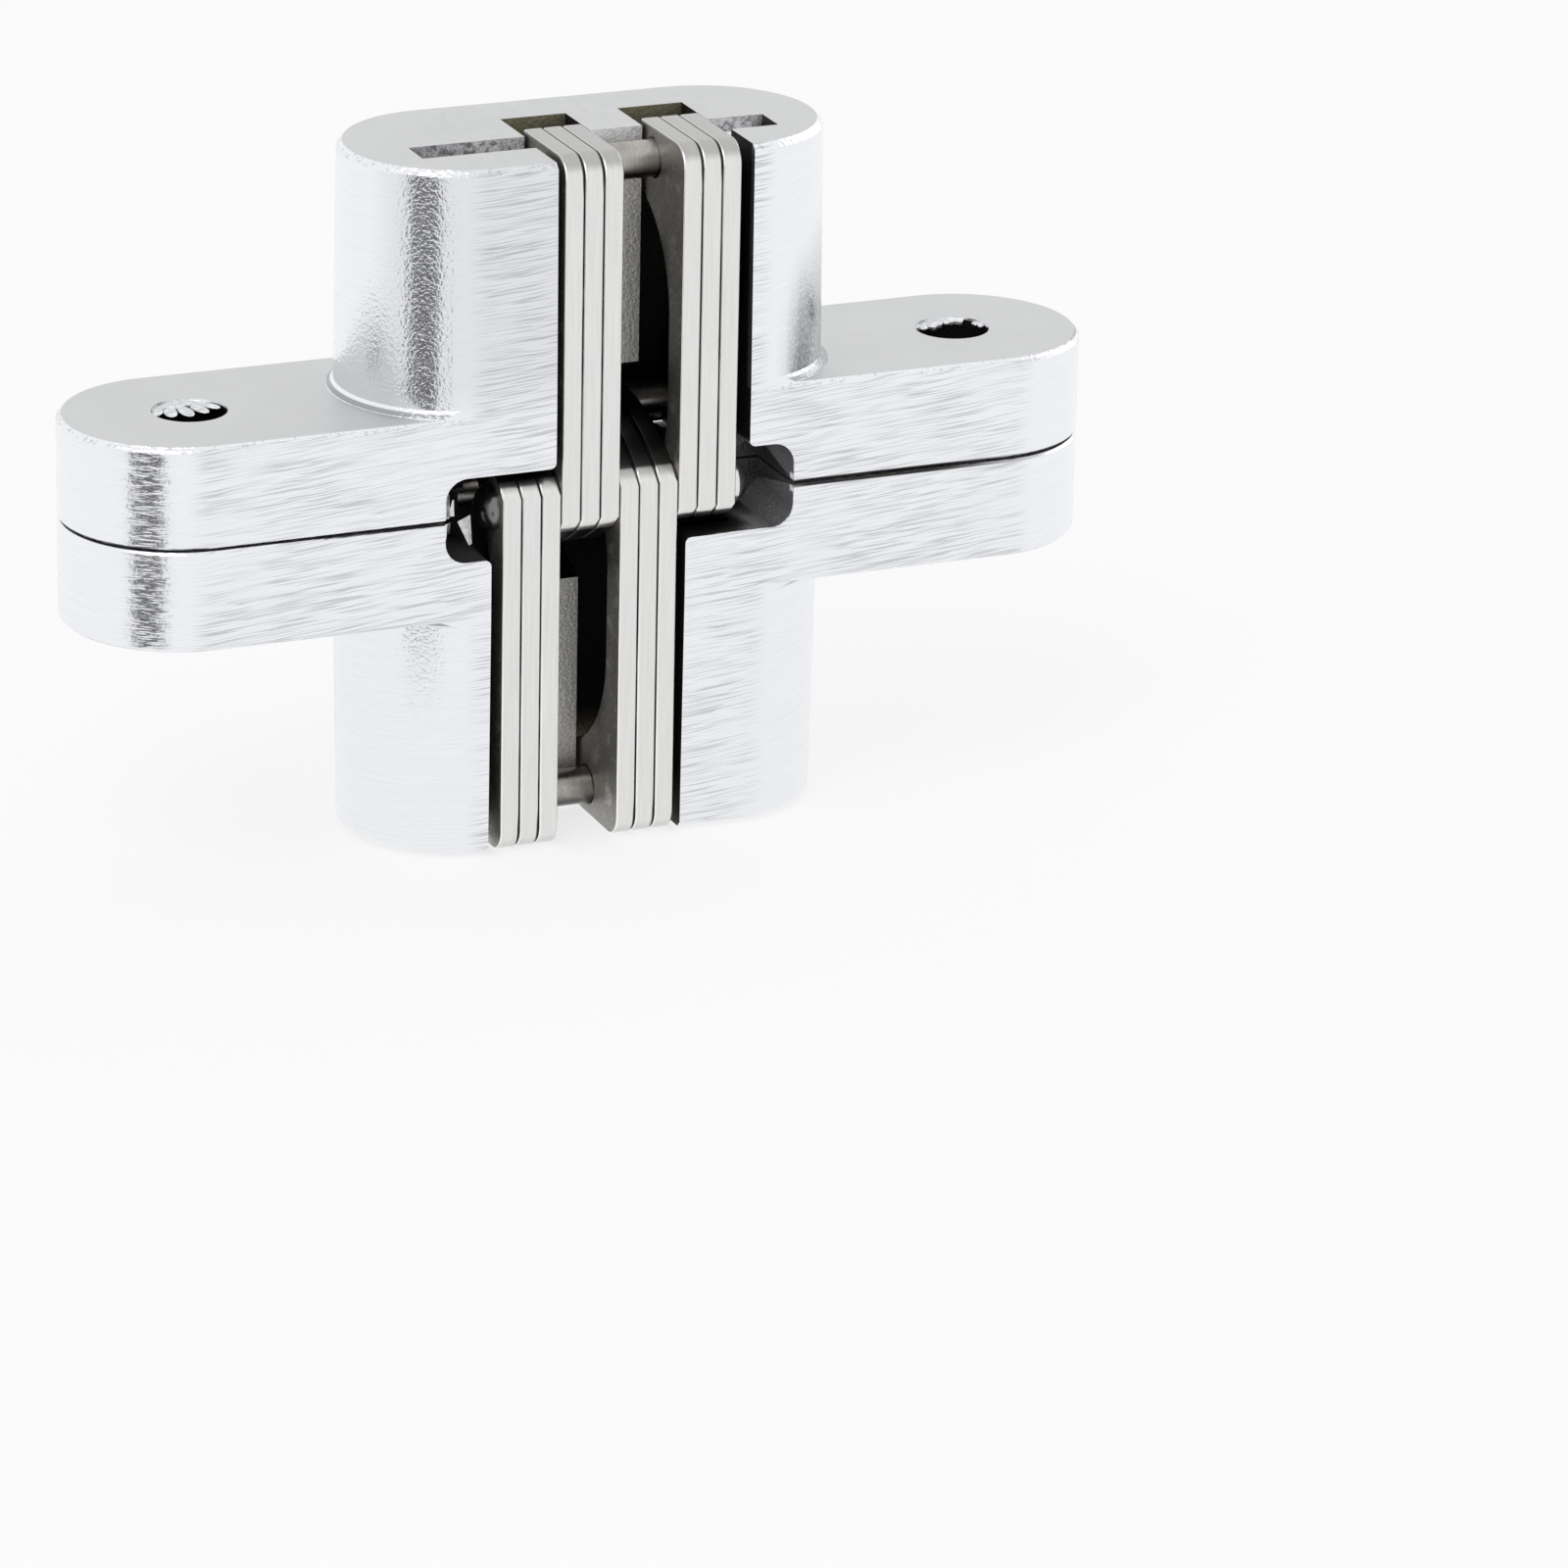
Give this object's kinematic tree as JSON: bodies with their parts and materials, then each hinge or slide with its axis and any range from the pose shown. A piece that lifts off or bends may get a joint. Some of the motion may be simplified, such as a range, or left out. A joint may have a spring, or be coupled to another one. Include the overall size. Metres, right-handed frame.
{
  "type": "concealed invisible door hinge",
  "caption": "Concealed hinge, shown closed: cast mortise leaves with screw flanges, joined by crossed sets of link plates that fold the door open clear of its frame.",
  "frame": {"origin": "centre of the bounding box, on the parting plane of the closed leaves", "axes": "+X along the flanges, +Y to the side towards which the leaves swing apart, +Z from the parting plane into the upper leaf"},
  "size_m": [0.1174, 0.0258, 0.0778],
  "materials": {
    "leaf_metal": "satin plated zinc casting with fine brush marks on the flat front",
    "link_metal": "stamped steel plate with ground edges",
    "pin_metal": "plain drawn steel"
  },
  "bodies": {
    "lower_leaf": {"lower_housing": "leaf_metal", "lower_pivot_pin": "pin_metal"},
    "upper_links": {"upper_slide_pin": "pin_metal", "upper_link_1": "link_metal", "upper_link_2": "link_metal", "upper_link_3": "link_metal", "upper_link_4": "link_metal", "upper_link_5": "link_metal", "upper_link_6": "link_metal"},
    "lower_links": {"lower_slide_pin": "pin_metal", "centre_pin": "pin_metal", "lower_link_1": "link_metal", "lower_link_2": "link_metal", "lower_link_3": "link_metal", "lower_link_4": "link_metal", "lower_link_5": "link_metal", "lower_link_6": "link_metal"},
    "upper_leaf": {"upper_housing": "leaf_metal", "upper_pivot_pin": "pin_metal"}
  },
  "joints": [
    {"name": "opening", "type": "hinge", "parent": "lower_leaf", "child": "upper_links", "pos_m": [0, 0.0087, -0.0042], "axis": [-1, 0, 0], "range_deg": [0, 124.47]},
    {"name": "cross_pivot", "type": "hinge", "parent": "upper_links", "child": "lower_links", "pos_m": [0, -0.0093, 0], "axis": [1, 0, 0], "range_deg": [0, 68.95]},
    {"name": "upper_pivot", "type": "hinge", "parent": "lower_links", "child": "upper_leaf", "pos_m": [0, 0.0087, 0.0042], "axis": [-1, 0, 0], "range_deg": [0, 124.48]}
  ],
  "couplings": [
    {"joint": "cross_pivot", "follows": "opening", "ratio": 0.5539},
    {"joint": "upper_pivot", "follows": "opening", "ratio": 1}
  ]
}
